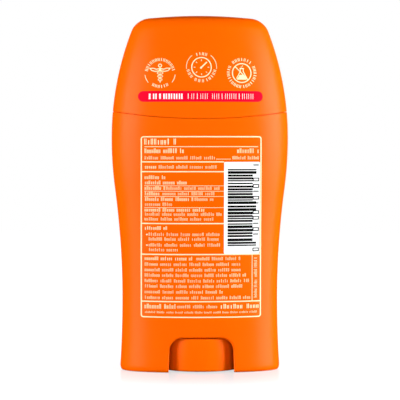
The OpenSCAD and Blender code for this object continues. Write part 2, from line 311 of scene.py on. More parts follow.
def ring_mesh(name, rings, loop):
    """A closed mesh through rings of equal length. A loop joins the last ring to the first, else both are
    capped."""
    rings = np.asarray(rings)
    m, n = rings.shape[:2]
    faces = [
        (k * n + i, k * n + (i + 1) % n, (k + 1) % m * n + (i + 1) % n, (k + 1) % m * n + i)
        for k in range(m if loop else m - 1)
        for i in range(n)
    ]
    if not loop:
        faces += [tuple(range(n)), tuple(range((m - 1) * n, m * n))]
    mesh = bpy.data.meshes.new(name)
    mesh.from_pydata(rings.reshape(-1, 3).tolist(), [], faces)
    return tidy_mesh(mesh)


def join_meshes(name, meshes):
    """One mesh from several closed ones."""
    bm = bmesh.new()
    for mesh in meshes:
        bm.from_mesh(mesh)
    return shade(baked(name, bm))


def lathe(name, profile, segments):
    """A closed mesh turned from a loop of (radius, height) points."""
    turn = circle(even_angles(segments))
    return ring_mesh(name, [level_ring(turn * r, z) for r, z in profile], True)


def arc(centre_r, centre_z, radius, start_deg, end_deg, steps):
    """Points of an arc in a lathe profile."""
    turn = np.radians(np.linspace(start_deg, end_deg, steps))
    return [(centre_r + radius * math.cos(t), centre_z + radius * math.sin(t)) for t in turn]


def place(name, mesh, body, slot, key, *nodes):
    """Puts a finished piece on its body and in its material, in place of its CAD nodes. The slot is not used.
    """
    piece = add_object(name, mesh)
    piece.data.materials.clear()
    piece.data.materials.append(material(key))
    if nodes:
        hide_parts(*nodes)
    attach(piece, body)


class Field:
    """A node's output. Arithmetic on it adds math nodes to its tree."""

    def __init__(self, graph, socket):
        self.graph, self.socket = graph, socket

    def math(self, operation, other):
        return self.graph.math(operation, self, other)

    __add__ = functools.partialmethod(math, "ADD")
    __sub__ = functools.partialmethod(math, "SUBTRACT")
    __mul__ = functools.partialmethod(math, "MULTIPLY")
    __truediv__ = functools.partialmethod(math, "DIVIDE")
    __gt__ = functools.partialmethod(math, "GREATER_THAN")
    __lt__ = functools.partialmethod(math, "LESS_THAN")


class Outputs:
    """A node's outputs by name or number."""

    def __init__(self, graph, node):
        self.graph, self.node = graph, node

    def __getitem__(self, key):
        return Field(self.graph, self.node.outputs[key])


class Graph:
    """A node tree with short ways to add nodes and to fill their inputs."""

    def __init__(self, tree):
        self.tree, self.nodes = tree, tree.nodes

    def fill(self, socket, value):
        """Gives an input a value, or links a field to it."""
        if isinstance(value, Field):
            self.tree.links.new(value.socket, socket)
        else:
            socket.default_value = value

    def add(self, kind, inputs=None, **settings):
        """A new node's outputs. Its inputs are given by name or number."""
        node = self.nodes.new(kind)
        for name, value in settings.items():
            setattr(node, name, value)
        for name, value in (inputs or {}).items():
            self.fill(node.inputs[name], value)
        return Outputs(self, node)

    def math(self, operation, *values):
        """The result of a math node on fields or numbers."""
        return self.add("ShaderNodeMath", dict(enumerate(values)), operation=operation)[0]

    def vector(self, x, y, z):
        """A vector of three fields or numbers."""
        return self.add("ShaderNodeCombineXYZ", {0: x, 1: y, 2: z})[0]

    def ramp(self, value, start, end, low=0.0, high=1.0, kind="SMOOTHSTEP"):
        """A value mapped from the range start to end to the range low to high."""
        inputs = {"Value": value, "From Min": start, "From Max": end, "To Min": low, "To Max": high}
        return self.add("ShaderNodeMapRange", inputs, interpolation_type=kind)["Result"]

    def named(self, title, kind="FLOAT"):
        """A named attribute's value."""
        return self.add("GeometryNodeInputNamedAttribute", {"Name": title}, data_type=kind)["Attribute"]

    def random(self, low, high, seed, offset):
        """A random number for each element, from the tree's seed."""
        inputs = {2: low, 3: high, "Seed": seed + offset}
        return self.add("FunctionNodeRandomValue", inputs, data_type="FLOAT")[1]


def surface(name, tones, cloud, gloss, grain, sockets):
    """A procedural material on Object coordinates.

    Cloudy noise blends its two tones, a finer noise spreads its roughness and the finest is its relief.
    Each noise is (scale, detail, roughness). Gloss adds both ends of the roughness, grain the relief's
    strength and depth. The sockets are the shader's other inputs."""
    made = bpy.data.materials.new(name)
    made.use_nodes = True
    graph = Graph(made.node_tree)
    place_on = graph.add("ShaderNodeTexCoord")["Object"]

    def noise(scale, detail, roughness):
        inputs = {"Vector": place_on, "Scale": scale, "Detail": detail, "Roughness": roughness}
        return graph.add("ShaderNodeTexNoise", inputs)["Fac"]

    share = graph.ramp(noise(*cloud), *NOISE_RANGE, kind="LINEAR")
    first, second = ((*tone, 1) for tone in tones)
    height = {"Height": noise(*grain[0]), "Strength": grain[1], "Distance": grain[2]}
    sockets = dict(sockets, **{
        "Base Color": graph.add("ShaderNodeMix", {0: share, 6: first, 7: second}, data_type="RGBA")[2],
        "Roughness": graph.ramp(noise(*gloss[0]), *NOISE_RANGE, *gloss[1], kind="LINEAR"),
        "Normal": graph.add("ShaderNodeBump", height)["Normal"]})
    for title, value in sockets.items():
        graph.fill(graph.nodes["Principled BSDF"].inputs[title], value)
    return made


def moulded_plastic(name, base, roughness, glow=0.04, gloss_level=0.056):
    """Satin moulded plastic: faint flow clouding, uneven gloss and a fine spark-eroded grain."""
    return surface(
        name, (base, [c * 0.955 for c in base]), (45.0, 3.0, 0.5),
        ((260.0, 4.0, 0.5), (roughness - 0.03, roughness + 0.05)), ((2600.0, 2.0, 0.5), 0.06, 0.03 * MM),
        {"Specular IOR Level": gloss_level, "Subsurface Weight": glow, "Subsurface Radius": (1.0, 0.35, 0.1),
         "Subsurface Scale": 0.8 * MM})


def printed_ink(name, base, gloss_level=0.06):
    """Screen-printed ink: slightly uneven cover and gloss."""
    return surface(
        name, (base, [c * 0.93 for c in base]), (900.0, 4.0, 0.6), ((1500.0, 3.0, 0.5), (0.45, 0.58)),
        ((5000.0, 3.0, 0.5), 0.04, 0.02 * MM), {"Specular IOR Level": gloss_level})


def waxy_solid(name, base):
    """Waxy, slightly crystalline product."""
    warm = (base[0] * 0.97, base[1] * 0.93, base[2] * 0.86)
    return surface(
        name, (base, warm), (160.0, 6.0, 0.62), ((420.0, 3.0, 0.5), (0.48, 0.66)),
        ((700.0, 5.0, 0.6), 0.35, 0.12 * MM),
        {"Subsurface Weight": 0.25, "Subsurface Radius": (1.0, 0.8, 0.6), "Subsurface Scale": 1.5 * MM})


@functools.cache
def material(key):
    """One of the stick's materials, made when it is first asked for."""
    f = bpy.context.scene.stick_finish
    makers = {
        "orange": lambda: moulded_plastic("orange_plastic", f.orange, f.roughness),
        # The shell's plastic with painted light: a lighter base against the shade of the window, and less
        # gloss
        "knob": lambda: moulded_plastic("knob_plastic_painted_lighter", f.knob, f.roughness + 0.02, 0.02, 0.03),
        "inner": lambda: moulded_plastic("barrel_plastic", f.inner, f.roughness + 0.04),
        "natural": lambda: moulded_plastic("natural_plastic", f.natural, 0.42, 0.15, 0.35),
        "product": lambda: waxy_solid("product_wax", f.product),
        "ink": lambda: printed_ink("cream_ink", f.ink),
        "pill": lambda: printed_ink("red_ink", f.pill, 0.02),
        "field": lambda: printed_ink("white_ink", f.field),
        "black": lambda: printed_ink("black_ink", f.black),
    }
    return makers[key]()


def window_path():
    """The outline of half a finger window as (x, height) points, from its foot to the middle."""
    f = form()
    half, r, h = f.window_w / 2, f.window_r, f.window_h
    side = [(half + f.window_draft * (1 - s), (h - r) * s) for s in (0, 0.25, 0.5, 0.75, 1)]
    turn = np.radians(np.arange(9, 91, 9))
    corner = [(half - r * (1 - math.cos(q)), h - r * (1 - math.sin(q))) for q in turn]
    top = [((half - r) * s, h) for s in np.linspace(0.86, 0, 7)]
    return np.array(side + corner + top)


def window_distance(x, z):
    """The distance of each point of the face, seen from the front, from the finger window's edge."""
    far = 1.0
    path = window_path()
    best = np.full(np.broadcast(x, z).shape, far)
    point = np.stack(np.broadcast_arrays(np.abs(x), z), -1)
    for start, end in zip(path[:-1], path[1:]):
        along = end - start
        t = np.clip(((point - start) @ along) / (along @ along), 0, 1)
        best = np.minimum(best, np.linalg.norm(point - start - t[..., None] * along, axis=-1))
    return best


def shell_columns():
    """The shell's columns: their angles and the heights of their lower ends."""
    path = window_path()
    beside = path[0][0] + np.array([3.0, 2.2, 1.6, 1.1, 0.8, 0.6, 0.42, 0.27, 0.15, 0.06]) * MM
    wide = np.linspace(0, column_angle(beside[0], 0.0), 34)[:-1]
    angles = np.concatenate([wide, column_angle(beside, 0.0), column_angle(path[:, 0], path[:, 1])])
    feet = np.concatenate([np.zeros(len(wide) + len(beside)), path[:, 1]])
    return all_quarters(angles), mirrored(feet)


def shell_mesh():
    """The waisted shell with its lipped finger windows, rounded foot and inner ledge."""
    f = form()
    angles, feet = shell_columns()
    # The rings follow the window's outline at the foot and are level from blend_z up
    blend_z, top_z, spacing = 22 * MM, 76 * MM, 1.8 * MM
    low = [0, 0.08, 0.2, 0.36, 0.55, 0.8, 1.1, 1.45, 1.9, 2.4, 3, 3.8, 4.8, 6, 7.5, 9, 11, 13, 15.5, 18.5]
    levels = np.concatenate([np.array(low) * MM, np.arange(blend_z, top_z + MM / 2, spacing)])
    below_seam = np.array([5, 4, 3, 2.1, 1.4, 0.9, 0.55, 0.35, 0.22, 0.12, 0.05, 0]) * MM
    # Beside a window the walls are straight, and turn oval over the next stretch
    straight, ease = 4 * MM, 3 * MM
    seat_h = 2 * MM

    def heights(level):
        return level + feet * max(0, 1 - level / blend_z)

    def skin(z, inset):
        """The form moved in by inset. Near the windows it moves along the depth alone."""
        points = form_points(z, inset, angles)
        plain = half_width(z) * reach(np.cos(angles))
        near = np.clip((window_path()[0][0] + straight - np.abs(plain)) / ease, 0, 1)
        points[:, 0] += (plain - points[:, 0]) * near
        a = half_width(z) - inset
        b = half_width(z) * f.shoulder_d / f.shoulder_w - inset
        across = np.clip(1 - (np.abs(points[:, 0]) / a) ** f.oval_power, 0, 1) ** (1 / f.oval_power)
        points[:, 1] = np.where(near > 0, np.sign(np.sin(angles)) * b * across, points[:, 1])
        return points

    def edge(z, radius):
        return quarter_round(window_distance(half_width(z) * reach(np.cos(angles)), z), radius)

    def outside(z):
        foot = quarter_round(z / f.foot_edge_h, 1.0) * f.foot_edge_in
        return skin(z, np.maximum(edge(z, f.window_lip), foot))

    seam = seam_height(angles) - f.seam_gap / 2
    rings = [outside(heights(level)) for level in levels]
    rings += [skin(seam - d, quarter_round(d, f.seam_edge_r)) for d in below_seam]
    rings += [skin(seam - d, f.shell_wall) for d in (0, seat_h)]
    ledge_top = np.full(len(angles), f.ledge_z)
    rings += [skin(ledge_top, f.shell_wall)]
    rings += [skin(ledge_top - d, f.shell_wall + f.ledge_w) for d in (0, f.ledge_w)]
    rings += [skin(ledge_top - 2 * f.ledge_w, f.shell_wall)]
    for level in levels[::-1]:
        if level < f.ledge_z - 2.5 * f.ledge_w:
            z = heights(level)
            rings.append(skin(z, f.shell_wall - edge(z, f.window_root)))
    return ring_mesh("outer_shell_finish", rings, True)


def cap_rings(inset, angles):
    """The rings of one skin of the cap, from the seam up to the middle of the crown."""
    f = form()
    r = f.crown_edge_r - inset
    edge_z = f.crown_z - f.crown_rise - f.crown_edge_r
    seam = seam_height(angles) + f.seam_gap / 2
    # The outer skin's edge is rounded in, the inner one's out
    way = 1 if inset == 0 else -1
    above = np.array([0, 0.05, 0.12, 0.22, 0.35, 0.55, 0.9, 1.4, 2.1, 3, 4]) * MM
    rings = [form_points(seam + d, inset + way * quarter_round(d, f.seam_edge_r), angles) for d in above]
    level_from = f.seam_z + f.seam_rise + 5 * MM
    rings += [form_points(z, inset, angles) for z in np.linspace(level_from, edge_z, 16)[:-1]]
    for q in np.radians(np.arange(0, 91, 7.5)):
        rings.append(form_points(edge_z + r * math.sin(q), inset + r * (1 - math.cos(q)), angles))
    last = rings[-1]
    for s in (0.93, 0.84, 0.72, 0.58, 0.43, 0.28, 0.14, 0.03):
        rings.append(last * (s, s, 1) + (0, 0, f.crown_rise * (1 - s * s)))
    return rings


def rib_mesh(side, face):
    """A grip rib inside the cap: it grips the neck's bead and runs out into the wall."""
    f = form()
    share = f.shoulder_d / f.shoulder_w
    x, thick, root = 9 * MM, 1.2 * MM, 0.4 * MM
    tip = f.waist_w / 2 * share - f.shell_wall + f.bead_out
    low, high = f.seam_z + f.seam_rise + f.lip_over + f.fit, f.bead_z + 2.5 * MM

    def seat(z):
        angle = np.arccos(((x + thick) / (half_width(z) - f.cap_wall)) ** (f.oval_power / 2))
        return float((half_width(z) * share - f.cap_wall) * reach(np.sin(angle))) + root

    middle = (low + high) / 2
    outline = [(tip, low + 1.5 * MM), (seat(low), low), (seat(middle), middle), (seat(high), high),
               (tip, high - 0.8 * MM)]
    ends = [[(side * x + s * thick / 2, face * y, z) for y, z in outline] for s in (-1, 1)]
    return ring_mesh("grip_rib", ends, False)


def barrel_mesh():
    """The oval barrel: floor with its bearing, straight bore, flange, lip, neck, bead and rim."""
    f = form()
    share, wall = f.shoulder_d / f.shoulder_w, f.barrel_wall
    angles = even_angles(160)
    floor, rim = BARREL_LOW.z, BARREL_HIGH.z
    floor_top = floor + 1.5 * MM
    flange = f.ledge_z + 0.05 * MM
    flange_top = flange + 1.5 * MM
    lip_top = f.seam_z + f.seam_rise + f.lip_over
    edge, small, fine, fillet = 0.35 * MM, 0.2 * MM, 0.1 * MM, 0.6 * MM

    def section(half, inset):
        """Rings of the oval that lies inset in from the outer form where that is half wide."""
        a, b = half - inset, half * share - inset
        return lambda shrink, z: level_ring(oval(a - shrink, b - shrink, angles), z)

    def hole(z):
        return level_ring(circle(angles) * BEARING_R, z)

    tube = section(f.waist_w / 2, f.shell_wall + f.fit)
    collar = section(float(half_width(flange)), f.shell_wall + f.fit)
    lip = section(float(half_width(lip_top)), max(f.shell_wall, f.cap_wall) + f.fit)
    rings = [hole(floor), tube(edge, floor), tube(fine, floor + fine), tube(0, floor + edge), tube(0, flange)]
    rings += [collar(small, flange), collar(0, flange + small)]
    rings += [collar(0, flange_top - small), collar(small, flange_top)]
    rings += [lip(0, flange_top), lip(0, lip_top - small), lip(small, lip_top)]
    rings += [lip(f.lip_wall - small, lip_top), lip(f.lip_wall, lip_top - small)]
    rings += [lip(f.lip_wall, flange_top), tube(0, flange_top), tube(0, f.bead_z)]
    rings += [tube(-f.bead_out * math.sin(q), f.bead_z + f.bead_h / 2 * (1 - math.cos(q)))
              for q in np.radians([30, 60, 90, 120, 150])]
    rings += [tube(0, f.bead_z + f.bead_h), tube(0, rim - edge), tube(fine, rim - fine), tube(edge, rim)]
    rings += [tube(wall - edge, rim), tube(wall - fine, rim - fine), tube(wall, rim - edge)]
    rings += [tube(wall, floor_top + fillet), tube(wall + 0.3 * fillet, floor_top + 0.3 * fillet)]
    rings += [tube(wall + fillet, floor_top), hole(floor_top)]
    return ring_mesh("inner_barrel_finish", rings, True)


def knob_mesh():
    """The drum knob: rounded edges, a dished closed underside, a hollow and the hub."""
    foot, hub_top, r = KNOB_LOW.z, KNOB_HIGH.z, KNOB_HIGH.x
    top, socket_top = foot + 10.55 * MM, foot + 8.8 * MM
    wall, edge, rim, hub, hub_edge = 1.6 * MM, 0.7 * MM, 0.3 * MM, 4.6 * MM, 0.3 * MM
    fillet, inner_edge = 0.6 * MM, 0.25 * MM
    dish, dish_r, dish_edge = 0.4 * MM, 9.9 * MM, 0.3 * MM
    inner = r - wall
    profile = arc(r - edge, foot + edge, edge, -90, 0, 8) + arc(r - rim, top - rim, rim, 0, 90, 6)
    profile += arc(inner + inner_edge, top - inner_edge, inner_edge, 90, 180, 4)
    profile += arc(inner - fillet, foot + wall + fillet, fillet, 0, -90, 5)
    profile += arc(hub + fillet, foot + wall + fillet, fillet, -90, -180, 5)
    profile += arc(hub - hub_edge, hub_top - hub_edge, hub_edge, 0, 90, 5)
    profile += [(BEARING_R, hub_top), (BEARING_R, socket_top), (AXIS_R, socket_top)]
    profile += [(AXIS_R, foot + dish), (dish_r - dish_edge, foot + dish), (dish_r, foot + dish_edge)]
    profile += [(dish_r + dish_edge, foot)]
    return lathe("knob_finish", profile, 160)


def product_mesh():
    """The domed product with a softly worn edge and the hole that the screw leaves."""
    f = form()
    inset = f.shell_wall + f.fit + f.barrel_wall + f.slide_gap
    foot, top = PLATFORM_TOP + 0.05 * MM, PRODUCT_HIGH.z
    dome, belt, hole_r = 8 * MM, 3 * MM, 4.55 * MM
    edge_w, edge_h = 0.1 * MM, 0.3 * MM
    side = top - dome
    angles = even_angles(144)
    outline = oval(f.waist_w / 2 - inset, f.waist_w / 2 * f.shoulder_d / f.shoulder_w - inset, angles)
    hole = circle(angles) * hole_r
    rings = [level_ring(outline, z) for z in (foot, side - belt, side)]
    for q in np.radians(np.arange(6, 87, 5)):
        rings.append(level_ring(hole + (outline - hole) * math.cos(q), side + dome * math.sin(q)))
    rings.append(level_ring(circle(angles) * (hole_r + edge_w), top))
    rings += [level_ring(hole, z) for z in (top - edge_h, foot)]
    return ring_mesh("product_finish", rings, True)


def key_pegs():
    """The pegs of product that key it into the platform's holes."""
    f = form()
    inset = f.shell_wall + f.fit + f.barrel_wall
    x_share, y_share = 0.55, 0.4
    x = (f.waist_w / 2 - inset) * x_share
    y = (f.waist_w / 2 * f.shoulder_d / f.shoulder_w - inset) * y_share
    low, high, r, edge = PRODUCT_LOW.z, PLATFORM_TOP + 0.6 * MM, 1.7 * MM, 0.1 * MM
    profile = [(AXIS_R, low), (r - edge, low), (r, low + edge), (r, high), (AXIS_R, high)]
    pegs = []
    for middle in ((-x, -y, 0), (-x, y, 0), (x, -y, 0), (x, y, 0)):
        pegs.append(lathe("peg", profile, 32))
        pegs[-1].transform(Matrix.Translation(middle))
    return pegs


def screw_mesh():
    """The screw: its square foot, journal and collar, with the thread grown above them."""
    foot, half, edge = SCREW_LOW.z, 2.0 * MM, 0.15 * MM
    journal, journal_z, journal_edge = 3.0 * MM, 9.15 * MM, 0.2 * MM
    collar, collar_z = SCREW_HIGH.x, 15.05 * MM
    thread_z = collar_z + 1.4 * MM
    stem = lathe("stem", [
        (AXIS_R, journal_z), (journal - journal_edge, journal_z), (journal, journal_z + journal_edge),
        (journal, collar_z), (collar - edge, collar_z), (collar, collar_z + edge), (collar, thread_z - edge),
        (collar - edge, thread_z), (AXIS_R, thread_z)], 64)
    square = bmesh.new()
    bmesh.ops.create_cube(square, size=2 * half)
    for v in square.verts:
        v.co.z = foot if v.co.z < 0 else journal_z + 0.5 * MM
    bmesh.ops.bevel(square, geom=square.edges[:], offset=edge, segments=2, affect="EDGES")
    base = join_meshes("screw_base", [stem, baked("drive", square)])
    values = {"Foot": thread_z, "Height": SCREW_HIGH.z - thread_z, "Material": material("natural")}
    return shade(grown_mesh("spindle_finish", base, [("screw", values)]))


def new_tree(name, inputs):
    """A new geometry node tree: its graph and what is put in. An input's kind follows its default, and one
    without a default is an object. The geometry comes first and the material last."""
    kinds = {float: "Float", int: "Int", tuple: "Vector", type(None): "Object"}
    tree = bpy.data.node_groups.new(name, "GeometryNodeTree")
    tree.interface.new_socket("Geometry", in_out="INPUT", socket_type="NodeSocketGeometry")
    for title, value in inputs.items():
        kind = "NodeSocket" + kinds[type(value)]
        socket = tree.interface.new_socket(title, in_out="INPUT", socket_type=kind)
        if value is not None:
            socket.default_value = value
    tree.interface.new_socket("Material", in_out="INPUT", socket_type="NodeSocketMaterial")
    tree.interface.new_socket("Geometry", in_out="OUTPUT", socket_type="NodeSocketGeometry")
    graph = Graph(tree)
    return graph, graph.add("NodeGroupInput")


def finish_tree(graph, geometry, given):
    """Realizes a tree's instances, sets its material and gives the tree back."""
    real = graph.add("GeometryNodeRealizeInstances", {0: geometry})[0]
    painted = graph.add("GeometryNodeSetMaterial", {"Geometry": real, "Material": given["Material"]})[0]
    graph.add("NodeGroupOutput", {0: painted})
    return graph.tree


def join_geometry(graph, parts):
    """Several geometries as one. The last part comes first in it."""
    node = graph.nodes.new("GeometryNodeJoinGeometry")
    for part in parts:
        graph.fill(node.inputs[0], part)
    return Field(graph, node.outputs[0])


def wrap_tree():
    """Lays flat artwork onto the face of a piece: each point moves along the depth until it meets the
    surface, and its own depth becomes its height above it."""
    graph, given = new_tree("Wrap on face", {"Surface": None, "Reach": 60 * MM})
    target = graph.add("GeometryNodeObjectInfo", {"Object": given["Surface"]})["Geometry"]
    point = graph.add("ShaderNodeSeparateXYZ", {0: graph.add("GeometryNodeInputPosition")[0]})
    ray = graph.add("GeometryNodeRaycast", {
        "Target Geometry": target, "Source Position": graph.vector(point[0], given["Reach"] * -1.0, point[2]),
        "Ray Direction": (0, 1, 0), "Ray Length": given["Reach"]})
    lift = graph.add("ShaderNodeVectorMath", {0: ray["Hit Normal"], "Scale": point[1]}, operation="SCALE")[0]
    place_at = graph.add("ShaderNodeVectorMath", {0: ray["Hit Position"], 1: lift})[0]
    moved = graph.add("GeometryNodeSetPosition", {
        "Geometry": given["Geometry"], "Selection": ray["Is Hit"], "Position": place_at})[0]
    return finish_tree(graph, moved, given)


def bar_mark(graph, bars):
    """A mark of upright bars as one instance. Each bar is (middle, width, foot, head), in shares of the
    mark's pitch and height."""
    parts = []
    for middle, width, foot, head in bars:
        cube = graph.add("GeometryNodeMeshCube", {"Size": graph.vector(width, 1.0, head - foot)})["Mesh"]
        shift = graph.vector(middle, 0.0, (head + foot) * 0.5)
        parts.append(graph.add("GeometryNodeTransform", {"Geometry": cube, "Translation": shift})[0])
    return graph.add("GeometryNodeGeometryToInstance", {0: join_geometry(graph, parts)})[0]


def mark_choice(graph, stroke, rise):
    """The four kinds of mark: one or two bars, low or raised."""
    low, high, spread, heavier = -0.5, 0.5, 0.23, 1.3
    heads = (high, rise + high)
    kinds = [[(-spread, stroke, low, head), (spread, stroke, low, head)] for head in heads]
    kinds += [[(0.0, stroke * heavier, low, head)] for head in heads]
    return join_geometry(graph, [bar_mark(graph, bars) for bars in kinds[::-1]])


def word_gaps(graph, share, seed):
    """True at the places between words, which come at uneven distances and differ from row to row."""
    # How much rows differ, how fast and how far the words' lengths sway along a row, and each row's first gap
    row_shift, sway_rate, sway, first = 900.0, 1.7, 0.65, 1.5
    index = graph.named("place")
    height = graph.add("ShaderNodeSeparateXYZ", {0: graph.add("GeometryNodeInputPosition")[0]})["Z"]
    phase = height * row_shift + seed

    def progress(place_in_row):
        wave = graph.math("SINE", place_in_row * sway_rate + phase)
        return graph.math("FLOOR", place_in_row * share + wave * share * sway)

    return (progress(index) > progress(index - 1.0)) * (index > first)


def words_tree():
    """Rows of word-like marks along edges: upright bars in ones and twos, with gaps between words."""
    graph, given = new_tree("Word marks", {
        "Thickness": 0.06 * MM, "Gap share": 0.14, "Stroke share": 0.2, "Rise": 0.35, "Seed": 1})
    curve = graph.add("GeometryNodeMeshToCurve", {"Mesh": given["Geometry"]})[0]
    spaced = graph.add(
        "GeometryNodeResampleCurve", {"Curve": curve, "Length": graph.named("pitch")}, mode="LENGTH")[0]
    place_in_row = graph.add("GeometryNodeSplineParameter")["Index"]
    tangent = graph.add("GeometryNodeInputTangent")[0]
    for title, kind, value in (("place", "FLOAT", place_in_row), ("tangent", "FLOAT_VECTOR", tangent)):
        inputs = {"Name": title, "Geometry": spaced, "Value": value}
        spaced = graph.add("GeometryNodeStoreNamedAttribute", inputs, data_type=kind, domain="POINT")[0]
    points = graph.add("GeometryNodeCurveToPoints", {"Curve": spaced}, mode="EVALUATED")["Points"]
    gaps = word_gaps(graph, given["Gap share"], given["Seed"])
    kept = graph.add("GeometryNodeDeleteGeometry", {"Geometry": points, "Selection": gaps}, domain="POINT")[0]
    turn = graph.add(
        "FunctionNodeAlignEulerToVector", {"Vector": graph.named("tangent", "FLOAT_VECTOR")}, axis="X",
        pivot_axis="Y")[0]
    chance = graph.random(0.0, 1.0, given["Seed"], 2.0)
    kind, next_kind_above = 0.0, (0.52, 0.76, 0.88)
    for threshold in next_kind_above:
        kind = (chance > threshold) + kind
    copies = graph.add("GeometryNodeInstanceOnPoints", {
        "Points": kept, "Instance": mark_choice(graph, given["Stroke share"], given["Rise"]),
        "Pick Instance": True, "Instance Index": kind, "Rotation": turn,
        "Scale": graph.vector(graph.named("pitch"), given["Thickness"], graph.named("tall"))})[0]
    return finish_tree(graph, copies, given)


def bars_tree():
    """A ladder of bars of uneven thickness that fills a given height exactly. Those at both ends and in the
    middle are longer."""
    graph, given = new_tree("Bar ladder", {
        "Count": 27, "Height": 25 * MM, "Width": 8 * MM, "Left": 0.0, "Foot": 0.0, "Thickness": 0.06 * MM,
        "Guard": 1.2 * MM, "Seed": 1})
    # The ranges that bars and spaces are drawn from, and how far from an end or the middle guard bars stand
    bar_range, space_range, end_reach, middle_reach = (0.9, 4.0), (0.05, 1.25), 1.5, 1.2
    points = graph.add("GeometryNodePoints", {"Count": given["Count"]})[0]
    bar = graph.math("CEIL", graph.random(*bar_range, given["Seed"], 1.0))
    space = graph.math("CEIL", graph.random(*space_range, given["Seed"], 2.0))
    total = graph.add("GeometryNodeAccumulateField", {0: bar + space})
    index = graph.add("GeometryNodeInputIndex")[0]
    last = given["Count"] - 1.0
    last_space = graph.add(
        "GeometryNodeSampleIndex", {"Geometry": points, "Value": space, "Index": last})["Value"]
    module = given["Height"] / (total["Total"] - last_space)
    height = given["Foot"] + (total["Trailing"] + bar / 2.0) * module
    from_end = graph.math("MINIMUM", index, last - index)
    from_middle = graph.math("ABSOLUTE", index - last / 2.0)
    is_guard = graph.math("MAXIMUM", from_end < end_reach, from_middle < middle_reach)
    long = given["Width"] + is_guard * given["Guard"]
    place_at = graph.vector(given["Left"] + long / 2.0, 0.0, height)
    moved = graph.add("GeometryNodeSetPosition", {"Geometry": points, "Position": place_at})[0]
    copies = graph.add("GeometryNodeInstanceOnPoints", {
        "Points": moved, "Instance": graph.add("GeometryNodeMeshCube", {"Vertices X": 10})["Mesh"],
        "Scale": graph.vector(long, given["Thickness"], bar * module)})[0]
    return finish_tree(graph, copies, given)


def ticks_tree():
    """Marks round a dial: blocks that point at its centre."""
    graph, given = new_tree("Dial ticks", {
        "Count": 8, "Radius": 2.25 * MM, "Length": 0.5 * MM, "Width": 0.22 * MM, "Thickness": 0.06 * MM,
        "Centre": (0, 0, 0)})
    points = graph.add("GeometryNodePoints", {"Count": given["Count"]})[0]
    angle = graph.add("GeometryNodeInputIndex")[0] / given["Count"] * (2 * math.pi)
    x, z = (graph.math(wave, angle) * given["Radius"] for wave in ("SINE", "COSINE"))
    place_at = graph.add("ShaderNodeVectorMath", {0: graph.vector(x, 0.0, z), 1: given["Centre"]})[0]
    moved = graph.add("GeometryNodeSetPosition", {"Geometry": points, "Position": place_at})[0]
    copies = graph.add("GeometryNodeInstanceOnPoints", {
        "Points": moved, "Instance": graph.add("GeometryNodeMeshCube")["Mesh"],
        "Rotation": graph.vector(0.0, angle, 0.0),
        "Scale": graph.vector(given["Width"], given["Thickness"], given["Length"])})[0]
    return finish_tree(graph, copies, given)


def screw_tree():
    """A left-hand screw: a core with a helical ridge of trapezoid section, in step with height 0."""
    graph, given = new_tree("Screw", {
        "Foot": 16.5 * MM, "Height": 75 * MM, "Lead": 6 * MM, "Root radius": 2.8 * MM, "Crest radius": 4 * MM,
        "Ridge foot": 2.6 * MM, "Ridge crest": 1.5 * MM, "Steps a turn": 40})
    root, crest, foot, overlap = given["Root radius"], given["Crest radius"], given["Foot"], 0.02 * MM
    run = given["Height"] - given["Ridge foot"] / 2.0
    middle = (root + crest) * 0.5
    helix = graph.add("GeometryNodeCurveSpiral", {
        "Resolution": given["Steps a turn"], "Rotations": run / given["Lead"],
        "Start Radius": middle, "End Radius": middle, "Height": run, "Reverse": False})[0]
    upright = graph.add("GeometryNodeSetCurveNormal", {"Curve": helix}, mode="Z_UP")[0]
    section = graph.add("GeometryNodeCurvePrimitiveQuadrilateral", {
        "Bottom Width": given["Ridge foot"], "Top Width": given["Ridge crest"], "Height": crest - root,
        "Offset": 0}, mode="TRAPEZOID")[0]
    outward = graph.add("GeometryNodeTransform", {
        "Geometry": section, "Rotation": (0.0, 0.0, math.pi / 2)})[0]
    ridge = graph.add("GeometryNodeCurveToMesh", {
        "Curve": upright, "Profile Curve": outward, "Fill Caps": True})[0]
    core = graph.add("GeometryNodeMeshCylinder", {
        "Vertices": 48, "Radius": root + overlap, "Depth": given["Height"]})["Mesh"]
    half = graph.vector(0.0, 0.0, given["Height"] * 0.5)
    raised = graph.add("GeometryNodeTransform", {"Geometry": core, "Translation": half})[0]
    phase = foot / given["Lead"] * (-2 * math.pi)
    lifted = graph.add("GeometryNodeTransform", {
        "Geometry": join_geometry(graph, [ridge, raised]), "Translation": graph.vector(0.0, 0.0, foot),
        "Rotation": graph.vector(0.0, 0.0, phase)})[0]
    return finish_tree(graph, join_geometry(graph, [given["Geometry"], lifted]), given)


@functools.cache
def tree(key):
    """One of the node trees, made when it is first asked for."""
    makers = {
        "wrap": wrap_tree, "words": words_tree, "bars": bars_tree, "ticks": ticks_tree, "screw": screw_tree}
    return makers[key]()


def grown_mesh(name, mesh, steps):
    """The plain mesh that node trees make of a mesh. Each step is a tree's key and its inputs by name."""
    obj = add_object(name + "_layout", mesh)
    for key, values in steps:
        modifier = obj.modifiers.new(key, "NODES")
        modifier.node_group = tree(key)
        for item in modifier.node_group.interface.items_tree:
            if item.in_out == "INPUT" and item.name in values:
                modifier[item.identifier] = values[item.name]
    bpy.context.view_layer.update()
    depsgraph = bpy.context.evaluated_depsgraph_get()
    result = bpy.data.meshes.new_from_object(obj.evaluated_get(depsgraph), depsgraph=depsgraph)
    result.name = name
    bpy.data.objects.remove(obj)
    return result


